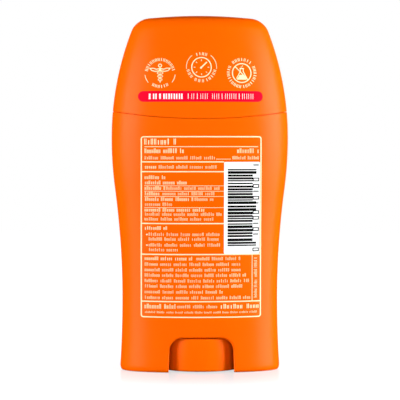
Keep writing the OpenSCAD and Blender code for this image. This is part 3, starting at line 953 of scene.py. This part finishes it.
class Artwork:
    """Flat print in the plane of the face: x sideways, z up and y the height above the surface."""

    def __init__(self, extra=0.0):
        self.bm = bmesh.new()
        self.high = print_sizes().ink + extra
        self.low = -print_sizes().sink

    def slab(self, rows):
        """A closed thin slab from a grid of (x, z) points."""
        m, n = len(rows), len(rows[0])
        top, back = (
            [[self.bm.verts.new((x, y, z)) for x, z in row] for row in rows] for y in (self.high, self.low))
        for i in range(m - 1):
            for j in range(n - 1):
                self.bm.faces.new((top[i][j], top[i + 1][j], top[i + 1][j + 1], top[i][j + 1]))
                self.bm.faces.new((back[i][j], back[i][j + 1], back[i + 1][j + 1], back[i + 1][j]))
        edge = [(0, j) for j in range(n)] + [(i, n - 1) for i in range(1, m)]
        edge += [(m - 1, j) for j in range(n - 2, -1, -1)] + [(i, 0) for i in range(m - 2, 0, -1)]
        for (i, j), (k, q) in zip(edge, edge[1:] + edge[:1]):
            self.bm.faces.new((top[i][j], top[k][q], back[k][q], back[i][j]))

    def stroke(self, points, width, closed=False):
        """A line of even width along points, split so that it follows the surface."""
        p = np.array(points, float)
        if closed:
            p = np.vstack([p, p[:1]])
        parts = [p[:1]]
        for a, b in zip(p[:-1], p[1:]):
            count = max(1, math.ceil(np.linalg.norm(b - a) / print_sizes().step))
            parts.append(a + (b - a) * (np.arange(1, count + 1) / count)[:, None])
        p = np.vstack(parts)
        ahead = np.roll(p, -1, 0) - p
        behind = p - np.roll(p, 1, 0)
        if closed:
            ahead[-1], behind[0] = p[1] - p[0], p[-1] - p[-2]
        else:
            ahead[-1], behind[0] = behind[-1], ahead[0]
        ahead /= np.linalg.norm(ahead, axis=1)[:, None]
        behind /= np.linalg.norm(behind, axis=1)[:, None]
        along = ahead + behind
        along /= np.linalg.norm(along, axis=1)[:, None]
        mitre = width / 2 / np.maximum(0.5, (along * ahead).sum(1))
        side = np.column_stack([-along[:, 1], along[:, 0]]) * mitre[:, None]
        self.slab([[tuple(a) for a in p + side], [tuple(a) for a in p - side]])

    def ring(self, centre, radius, width, start_deg=0, end_deg=360):
        """A circle or an arc of even width."""
        full = abs(end_deg - start_deg) >= 360
        count = max(8, math.ceil(abs(end_deg - start_deg) / 9))
        points = arc_points(centre, radius, start_deg, end_deg, count + 1)
        self.stroke(points[:-1] if full else points, width, full)

    def field(self, x0, x1, z0, z1, corner):
        """A filled rectangle with round corners."""
        step = print_sizes().step
        inner = np.linspace(x0 + corner, x1 - corner, max(2, math.ceil((x1 - x0 - 2 * corner) / step)))
        left = x0 + corner * (1 - np.sin(np.radians(np.linspace(0, 90, 7))))[::-1]
        xs = np.concatenate([left[:-1], inner, (x0 + x1 - left)[::-1][1:]])
        reach_x = np.maximum(0, np.maximum(x0 + corner - xs, xs - x1 + corner))
        cut = corner - np.sqrt(np.maximum(corner ** 2 - reach_x ** 2, (0.02 * corner) ** 2))
        shares = np.linspace(0, 1, max(2, math.ceil((z1 - z0) / step)) + 1)
        self.slab([[(x, z0 + c + (z1 - z0 - 2 * c) * s) for x, c in zip(xs, cut)] for s in shares])

    def disc(self, centre, radius):
        """A filled disc."""
        x, z = centre
        self.field(x - radius, x + radius, z - radius, z + radius, radius * 0.999)

    def lay(self, name, surface, key):
        """Prints the artwork on a surface."""
        bmesh.ops.recalc_face_normals(self.bm, faces=self.bm.faces)
        lay_print(name, baked(name, self.bm), surface, key)


def lay_words(name, rows, surface, key, values):
    """Prints rows of word-like marks. Each row is (points, letter height, pitch), all in millimetres."""
    verts, edges, sizes = [], [], []
    for points, tall, pitch in rows:
        first = len(verts)
        verts += [(x * MM, 0, z * MM) for x, z in points]
        sizes += [(tall * MM, pitch * MM)] * len(points)
        edges += [(k, k + 1) for k in range(first, len(verts) - 1)]
    mesh = bpy.data.meshes.new(name)
    mesh.from_pydata(verts, edges, [])
    for title, column in zip(("tall", "pitch"), zip(*sizes)):
        mesh.attributes.new(title, "FLOAT", "POINT").data.foreach_set("value", column)
    lay_print(name, mesh, surface, key, ("words", values))


def lay_print(name, mesh, surface, key, *steps):
    """Lays flat artwork on a surface as print. The steps are the trees that first make it from the mesh, each
    with its inputs."""
    piece, body, slot = SURFACES[surface]
    steps = [*steps, ("wrap", {"Surface": bpy.data.objects[piece]})]
    result = grown_mesh(name, mesh, [(step, dict(values, Material=material(key))) for step, values in steps])
    result.shade_flat()
    place(name, result, body, slot, key)


# What is printed on: its piece, body and slot
SURFACES = {
    "cap": ("cap_finish", "cap", "orange_cap"), "shell": ("outer_shell_finish", "barrel", "orange_shell")}
# How much thicker print on other print is
OVERPRINT = 0.04 * MM

# Where the printed things lie on the face, in millimetres: x from the middle, z from the foot
BADGES = {"staff": (-13.35, 96.85), "dial": (-0.05, 98.65), "flask": (13.0, 96.85)}
PILL = (-20.45, 19.9, 87.55, 91.05)
PANEL = (-19.4, 19.3, 18.0, 76.3)
BAR_FIELD = (7.2, 18.95, 38.5, 68.2)
BARS = (8.4, 16.6, 41.0, 65.9)

# Round each badge: its words and its fine arcs, as angles clockwise from the top, and its inner ring's radius
BADGE_WORDS = {
    "staff": ((-77, 77), (150, 210)), "dial": ((-20, 20), (105, 157), (174, 206), (228, 256)),
    "flask": ((-39, 39), (64, 172), (188, 296))}
BADGE_ARCS = {"staff": ((97, 129), (231, 263)), "dial": ((38, 96), (264, 322)), "flask": ()}
BADGE_RINGS = {"dial": 3.15, "flask": 3.05}

# The kinds of printed words, as (letter height, pitch) in millimetres
TITLE, HEAD, BOLD, TEXT, TINY = (1.42, 0.95), (1.12, 0.74), (0.88, 0.64), (0.8, 0.62), (0.5, 0.42)
WIDE, UPRIGHT, ROUND = (1.1, 1.0), (0.72, 0.42), (0.95, 0.87)
# The words on the red field: their height, and each weight's stroke share and (start, end, pitch)
PILL_TALL = 1.75
PILL_WORDS = {
    "heavy": (0.27, [(3.75, 13.68, 1.65)]), "light": (0.1, [(16.1, 21.9, 1.44), (24.2, 36.75, 1.39)])}

# The panel: its corner radius, its main rules, the edges of its words, its divider and its upright words
CORNER = 0.7
UPPER_RULE, LOWER_RULE = 38.3, 23.05
WORDS_LEFT, WORDS_RIGHT, LIST_LEFT = -18.1, 18.3, -16.8
DIVIDER_X, UPRIGHT_X = 16.5, 17.75
LIST_DOTS = (-17.6, (44.7, 41.25))
# Each rule as (left, right, height, weight)
RULES = [
    (PANEL[0] + 1, PANEL[1] - 1, 73.1, 0.55),
    *((PANEL[0], PANEL[1], z, 1.0) for z in (UPPER_RULE, LOWER_RULE)),
    *((PANEL[0], BAR_FIELD[0], z, 1.0) for z in (68.2, 65.05, 48.3)), (4.6, 9.4, 69.1, 0.4),
    *((PANEL[0] + 1, BAR_FIELD[0], z, 0.4) for z in (60.5, 58.75, 57.05, 53.45))]
# Rows of words that start at the left edge, as (right end, height)
BOLD_ENDS = (
    (-14.9, 66.45), (-12.0, 63.1), (-5.1, 61.4), (-12.0, 59.6), (-13.2, 57.85), (-3.0, 56.05), (1.2, 52.6),
    (-11.4, 46.7), (-3.2, 36.85))
TEXT_ENDS = (
    (4.0, 69.4), (-9.8, 54.4), (6.2, 51.2), (3.5, 49.65), (12.4, 35.0), (12.4, 33.2), (14.2, 31.45),
    (15.2, 29.65), (13.6, 27.9), (6.6, 26.05), (15.6, 24.2))
# Rows that follow on others, as (left end, right end, height)
TEXT_SPANS = (
    (10.1, 18.3, 69.4), (-13.6, 4.5, 66.45), (-11.2, 5.5, 59.6), (-12.4, 3.8, 57.85), (-2.1, 3.5, 56.05),
    (-1.5, 12.3, 36.85), (-7.7, 4.9, 21.3))
LIST_ENDS = ((5.5, 44.7), (5.2, 43.15), (5.8, 41.25), (-7.2, 39.7))

# The marks beside the bars: their middle and heights, which of five in turn are boxes, and half their sizes
MARKS_X, BOXES = 17.65, (1, 2, 4)
MARKS = (67.2, 62.5, 60.4, 58.7, 56.6, 54.9, 51.9, 50.1, 48.3, 46.4, 44.8, 39.8)
MARK_WIDE, MARK_TALL = 0.9, 0.45


def mm_points(points, x=0.0, z=0.0, side=1):
    """Points in millimetres from x and z, or mirrored there, as points in metres."""
    return [((x + side * u) * MM, (z + v) * MM) for u, v in points]


def arc_points(centre, radius, start_deg, end_deg, count=13):
    """Points of an arc, its angle clockwise from straight up."""
    turn = np.radians(np.linspace(start_deg, end_deg, count))
    return [(centre[0] + radius * math.sin(t), centre[1] + radius * math.cos(t)) for t in turn]


def staff_icon(art, centre, stroke):
    """A staff with a ring on top, two wings and two winding cords."""
    wing = [(0.25, 1.4), (1.15, 1.2), (2.15, 1.55), (3.25, 1.5), (2.65, 0.8), (1.6, 0.5), (0.25, 0.7)]
    cord = [((1.0 - 0.5 * s) * math.sin(s * 3.1 * math.pi), 0.5 - 3.3 * s) for s in np.linspace(0.03, 1, 40)]
    art.stroke(mm_points([(0, -3.2), (0, 1.85)], *centre), stroke * 0.65)
    art.ring(*mm_points([(0, 2.38)], *centre), 0.5 * MM, stroke * 0.9)
    for side in (-1, 1):
        art.stroke(mm_points(wing, *centre, side), stroke * 0.95, closed=True)
        art.stroke(mm_points(cord, *centre, side), stroke * 0.75)


def dial_icon(art, centre, stroke):
    """A dial's hand, round at its root."""
    art.stroke(mm_points([(-0.1, -0.1), (1.65, 1.6)], *centre), stroke * 1.35)
    art.disc(*mm_points([(-0.15, -0.15)], *centre), 0.32 * MM)


def flask_icon(art, centre, stroke):
    """A half-full flask with rising bubbles and a bar across."""
    half = [(0.5, 1.4), (0.5, 0.45), (1.65, -1.65), (1.4, -2.0)]
    outline = half + [(-u, v) for u, v in half[::-1]]
    art.stroke(mm_points(outline, *centre), stroke * 0.85)
    art.stroke(mm_points([(-0.7, 1.45), (0.7, 1.45)], *centre), stroke)
    fill = [[(way * (0.7 + 0.7 * s), -0.6 - 1.3 * s) for way in (-1, 1)] for s in (0, 0.5, 1)]
    art.slab([mm_points(row, *centre) for row in fill])
    for u, v, r in ((-0.15, 1.95, 0.16), (0.25, 2.3, 0.13)):
        art.disc(*mm_points([(u, v)], *centre), r * MM)
    art.stroke(mm_points([(-2.15, 2.05), (2.1, -2.2)], *centre), stroke * 0.9)


ICONS = {"staff": staff_icon, "dial": dial_icon, "flask": flask_icon}


def level_row(left, right, z, kind):
    """A level row of words for lay_words."""
    return ([(left, z), (right, z)], *kind)


def bold_rows():
    """The panel's heavy words."""
    return [
        level_row(WORDS_LEFT, -8.7, 74.5, TITLE), level_row(WORDS_LEFT, -6.1, 71.6, HEAD),
        level_row(11.7, WORDS_RIGHT, 71.6, HEAD), *(level_row(WORDS_LEFT, *end, BOLD) for end in BOLD_ENDS),
        level_row(WORDS_LEFT, -8.6, 21.3, HEAD), level_row(6.4, WORDS_RIGHT, 21.3, WIDE)]


def light_rows():
    """The panel's thin words."""
    rows = [level_row(WORDS_LEFT, *end, TEXT) for end in TEXT_ENDS]
    rows += [level_row(*span, TEXT) for span in TEXT_SPANS]
    rows += [level_row(LIST_LEFT, *end, TEXT) for end in LIST_ENDS]
    rows.append(level_row(WORDS_LEFT, WORDS_RIGHT, 19.5, TINY))
    return rows + [([(UPRIGHT_X, 24.3), (UPRIGHT_X, 37.0)], *UPRIGHT)]


class StickOperator:
    """What the operators share."""

    bl_options = {"REGISTER", "UNDO"}


class OBJECT_OT_stick_shell(StickOperator, bpy.types.Operator):
    """Builds the waisted outer shell with its finger windows"""

    bl_idname = "object.stick_shell"
    bl_label = "Shell"

    def execute(self, context):
        place("outer_shell_finish", shell_mesh(), "barrel", "orange_shell", "orange", "outer_shell")
        return {"FINISHED"}


class OBJECT_OT_stick_cap(StickOperator, bpy.types.Operator):
    """Builds the over-cap with its domed crown and grip ribs"""

    bl_idname = "object.stick_cap"
    bl_label = "Cap"

    def execute(self, context):
        angles = even_angles(200)
        inner = cap_rings(form().cap_wall, angles)
        skin = ring_mesh("cap_skin", inner[::-1] + cap_rings(0.0, angles), False)
        ribs = [rib_mesh(side, face) for side in (-1, 1) for face in (-1, 1)]
        place("cap_finish", join_meshes("cap_finish", [skin, *ribs]), "cap", "orange_cap", "orange", "cap")
        return {"FINISHED"}


class OBJECT_OT_stick_mechanism(StickOperator, bpy.types.Operator):
    """Builds the barrel, the knob, the screw and the product, and finishes the platform"""

    bl_idname = "object.stick_mechanism"
    bl_label = "Mechanism"

    def execute(self, context):
        place("inner_barrel_finish", barrel_mesh(), "barrel", "orange_barrel", "inner", "inner_barrel")
        place("knob_finish", knob_mesh(), "screw", "orange_knob", "knob", "knob")
        product = join_meshes("product_finish", [product_mesh(), *key_pegs()])
        place("product_finish", product, "platform", "product", "product", "product_stick")
        place("spindle_finish", screw_mesh(), "screw", "natural_plastic", "natural", "spindle")
        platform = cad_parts["elevator"]
        platform.data.materials.clear()
        platform.data.materials.append(material("natural"))
        return {"FINISHED"}


class OBJECT_OT_stick_badges(StickOperator, bpy.types.Operator):
    """Prints the three round badges and the red field on the cap"""

    bl_idname = "object.stick_badges"
    bl_label = "Badges"

    def execute(self, context):
        p = print_sizes()
        thickness = p.ink + p.sink
        art, rows = Artwork(), []
        for name, centre in BADGES.items():
            middle = mm_points([centre])[0]
            if name in BADGE_RINGS:
                art.ring(middle, BADGE_RINGS[name] * MM, p.stroke * 0.85)
            for start, end in BADGE_ARCS[name]:
                art.ring(middle, p.arcs_r, p.stroke * 0.5, start, end)
            ICONS[name](art, centre, p.stroke * 0.8)
            rows += [(arc_points(centre, p.words_r / MM, *ends), *ROUND) for ends in BADGE_WORDS[name]]
        art.lay("badge_rings", "cap", "ink")
        words = {"Thickness": thickness, "Gap share": 0.0, "Rise": 0.0, "Stroke share": 0.21, "Seed": p.seed}
        lay_words("badge_words", rows, "cap", "ink", words)
        x, z = BADGES["dial"]
        ticks = {"Centre": (x * MM, 0.0, z * MM), "Thickness": thickness}
        lay_print("dial_ticks", bpy.data.meshes.new("dial_ticks"), "cap", "ink", ("ticks", ticks))
        left, right, low, high = (v * MM for v in PILL)
        pill = Artwork()
        pill.field(left, right, low, high, (high - low) / 2 * 0.98)
        pill.lay("red_field", "cap", "pill")
        x, z = PILL[0], (PILL[2] + PILL[3]) / 2
        for name, (share, spans) in PILL_WORDS.items():
            rows = [level_row(x + start, x + end, z, (PILL_TALL, pitch)) for start, end, pitch in spans]
            above = {**words, "Thickness": thickness + OVERPRINT, "Seed": p.seed + 3, "Stroke share": share}
            lay_words("red_field_" + name, rows, "cap", "field", above)
        return {"FINISHED"}


class OBJECT_OT_stick_panel(StickOperator, bpy.types.Operator):
    """Prints the panel of rules and word marks on the shell"""

    bl_idname = "object.stick_panel"
    bl_label = "Panel"

    def execute(self, context):
        p = print_sizes()
        left, right, low, high = PANEL[0] + CORNER, PANEL[1] - CORNER, PANEL[2] + CORNER, PANEL[3] - CORNER
        art, outline = Artwork(), []
        for k, centre in enumerate(((right, high), (right, low), (left, low), (left, high))):
            outline += arc_points(centre, CORNER, 90 * k, 90 * k + 90, 7)
        art.stroke(mm_points(outline), p.stroke, closed=True)
        for x0, x1, z, weight in RULES:
            art.stroke(mm_points([(x0, z), (x1, z)]), p.stroke * weight)
        art.stroke(mm_points([(DIVIDER_X, UPPER_RULE), (DIVIDER_X, LOWER_RULE)]), p.stroke * 0.5)
        for z in LIST_DOTS[1]:
            art.disc((LIST_DOTS[0] * MM, z * MM), 0.25 * MM)
        art.lay("panel_rules", "shell", "ink")
        for name, rows, share in (("panel_heads", bold_rows(), 0.25), ("panel_words", light_rows(), 0.185)):
            words = {"Thickness": p.ink + p.sink, "Stroke share": share, "Seed": p.seed + 1}
            lay_words(name, rows, "shell", "ink", words)
        return {"FINISHED"}


class OBJECT_OT_stick_barcode(StickOperator, bpy.types.Operator):
    """Prints the white field and its ladder of bars on the shell"""

    bl_idname = "object.stick_barcode"
    bl_label = "Bars"

    def execute(self, context):
        p = print_sizes()
        field = Artwork()
        field.field(*(v * MM for v in BAR_FIELD), 0.4 * MM)
        field.lay("bar_field", "shell", "field")
        left, right, low, high = (v * MM for v in BARS)
        bars = {"Height": high - low, "Width": right - left, "Left": left, "Foot": low,
                "Thickness": p.ink + p.sink + OVERPRINT, "Seed": p.seed}
        lay_print("bars", bpy.data.meshes.new("bars"), "shell", "black", ("bars", bars))
        marks = Artwork(extra=OVERPRINT / 2)
        w, h = MARK_WIDE, MARK_TALL
        dash, box = [(-w, 0), (w, 0)], [(-w, -h), (w, -h), (w, h), (-w, h)]
        for k, z in enumerate(MARKS):
            if k % 5 in BOXES:
                marks.stroke(mm_points(box, MARKS_X, z), 0.32 * MM, closed=True)
            else:
                marks.stroke(mm_points(dash, MARKS_X, z), 0.36 * MM)
        marks.lay("bar_marks", "shell", "black")
        return {"FINISHED"}


def towards(azimuth, elevation):
    """The direction from the stick at an azimuth from its face and an elevation, in radians."""
    return Vector((math.sin(azimuth) * math.cos(elevation), -math.cos(azimuth) * math.cos(elevation),
                   math.sin(elevation)))


def look_back(obj, aim, direction, distance):
    """Puts a lamp or a camera at a distance in a direction from its aim, and turns it to the aim."""
    obj.location = aim + direction * distance
    obj.rotation_euler = (-direction).to_track_quat("-Z", "Y").to_euler()
    bpy.context.scene.collection.objects.link(obj)


def area_light(name, level, azimuth_deg, elevation_deg, distance, size, in_gloss):
    """A soft light that faces the stick. Its level is the brightness that it gives a white card there."""
    data = bpy.data.lights.new(name, "AREA")
    data.shape = "RECTANGLE"
    data.size, data.size_y = size
    data.energy = level * math.pi ** 2 * distance ** 2
    lamp = bpy.data.objects.new(name, data)
    lamp.visible_glossy = in_gloss
    direction = towards(math.radians(azimuth_deg), math.radians(elevation_deg))
    look_back(lamp, Vector((0, 0, form().crown_z / 2)), direction, distance)


def studio_world():
    """White for the camera, a white patch at the back for the glossy floor, and dark for all else."""
    world = bpy.data.worlds.new("studio")
    world.use_nodes = True
    world.cycles.sampling_method = "NONE"
    graph = Graph(world.node_tree)
    patch_edge = 0.965, 0.985
    rays = graph.add("ShaderNodeLightPath")
    direction = graph.add("ShaderNodeSeparateXYZ", {0: graph.add("ShaderNodeTexCoord")["Generated"]})
    patch = rays["Is Glossy Ray"] * graph.ramp(direction["Y"], *patch_edge)
    sky = graph.add("ShaderNodeBackground", {
        "Color": (1, 1, 1, 1), "Strength": graph.math("MAXIMUM", rays["Is Camera Ray"], patch)})[0]
    graph.fill(graph.nodes["World Output"].inputs["Surface"], sky)
    bpy.context.scene.world = world


def floor_material():
    """A white sheet that fades out far off, and in a low view mirrors the foot of what stands on it."""
    s = bpy.context.scene.stick_stage
    roughness, low_views, fade_shares = 0.06, (0.75, 0.87), (0.45, 0.95)
    paper = bpy.data.materials.new("floor_white")
    paper.use_nodes = True
    graph = Graph(paper.node_tree)
    graph.nodes.remove(graph.nodes["Principled BSDF"])
    place_on = graph.add("ShaderNodeTexCoord")["Object"]
    away = graph.add("ShaderNodeVectorMath", {0: place_on}, operation="LENGTH")["Value"]
    matt = graph.add("ShaderNodeBsdfDiffuse", {"Color": (s.floor_white, s.floor_white, s.floor_white, 1)})[0]
    light = graph.add("ShaderNodeEmission", {"Strength": s.floor_light})[0]
    shown = graph.add("ShaderNodeAddShader", {0: matt, 1: light})[0]
    gloss = graph.add("ShaderNodeBsdfAnisotropic", {"Roughness": roughness})[0]
    near = graph.ramp(away, form().shoulder_d / 2, s.mirror_reach, s.mirror, 0.0)
    low_view = graph.ramp(graph.add("ShaderNodeLayerWeight")["Facing"], *low_views)
    fade = graph.ramp(away, *(share * s.floor_size for share in fade_shares))
    clear = graph.add("ShaderNodeBsdfTransparent")[0]
    for share, other in ((near * low_view, gloss), (fade, clear)):
        shown = graph.add("ShaderNodeMixShader", {0: share, 1: shown, 2: other})[0]
    graph.fill(graph.nodes["Material Output"].inputs["Surface"], shown)
    return paper


class SCENE_OT_stick_stage(StickOperator, bpy.types.Operator):
    """Sets up the pale floor, the studio light and the camera"""

    bl_idname = "scene.stick_stage"
    bl_label = "Stage"

    def execute(self, context):
        s = context.scene.stick_stage
        corners = [(x * s.floor_size, y * s.floor_size, 0) for x, y in ((-1, -1), (1, -1), (1, 1), (-1, 1))]
        mesh = bpy.data.meshes.new("floor")
        mesh.from_pydata(corners, [], [(0, 1, 2, 3)])
        floor = add_object("floor", mesh)
        floor.data.materials.append(floor_material())
        floor.visible_glossy = floor.visible_diffuse = False
        studio_world()
        for name, where in LIGHTS.items():
            area_light(name, getattr(s, name), *where)
        camera_data = bpy.data.cameras.new("camera")
        camera_data.sensor_width = 36.0
        camera_data.lens = s.lens
        camera_data.clip_start = 0.01
        camera = bpy.data.objects.new("camera", camera_data)
        sideways = Vector((math.cos(s.azimuth), math.sin(s.azimuth), 0))
        aim = Vector((0, 0, s.aim_z)) + sideways * s.aim_x
        look_back(camera, aim, towards(s.azimuth, s.elevation), s.distance)
        context.scene.camera = camera
        context.scene.view_settings.view_transform = "Standard"
        return {"FINISHED"}


OPERATORS = (
    SCENE_OT_stick_stage, OBJECT_OT_stick_shell, OBJECT_OT_stick_cap, OBJECT_OT_stick_mechanism,
    OBJECT_OT_stick_badges, OBJECT_OT_stick_panel, OBJECT_OT_stick_barcode)


class VIEW3D_PT_stick(bpy.types.Panel):
    """Sizes, colours and the steps that build the stick"""

    bl_label = "Twist-up stick"
    bl_space_type = "VIEW_3D"
    bl_region_type = "UI"
    bl_category = "Stick"

    def draw(self, context):
        for operator in OPERATORS:
            self.layout.operator(operator.bl_idname)
        for title in GROUPS:
            group, box = getattr(context.scene, title), self.layout.box()
            for name in group.bl_rna.properties.keys():
                if name not in ("rna_type", "name"):
                    box.prop(group, name)


GROUPS = {
    "stick_form": StickForm, "stick_print": StickPrint, "stick_finish": StickFinish,
    "stick_stage": StickStage}


def register():
    for cls in (*GROUPS.values(), *OPERATORS, VIEW3D_PT_stick):
        bpy.utils.register_class(cls)
    for name, group in GROUPS.items():
        setattr(bpy.types.Scene, name, PointerProperty(type=group))


def unregister():
    for name in GROUPS:
        delattr(bpy.types.Scene, name)
    for cls in (VIEW3D_PT_stick, *reversed(OPERATORS), *reversed(GROUPS.values())):
        bpy.utils.unregister_class(cls)


def main():
    """Builds everything in order."""
    register()
    bpy.ops.scene.stick_stage()
    bpy.ops.object.stick_shell()
    bpy.ops.object.stick_cap()
    bpy.ops.object.stick_mechanism()
    bpy.ops.object.stick_badges()
    bpy.ops.object.stick_panel()
    bpy.ops.object.stick_barcode()


if __name__ == "__main__":
    main()
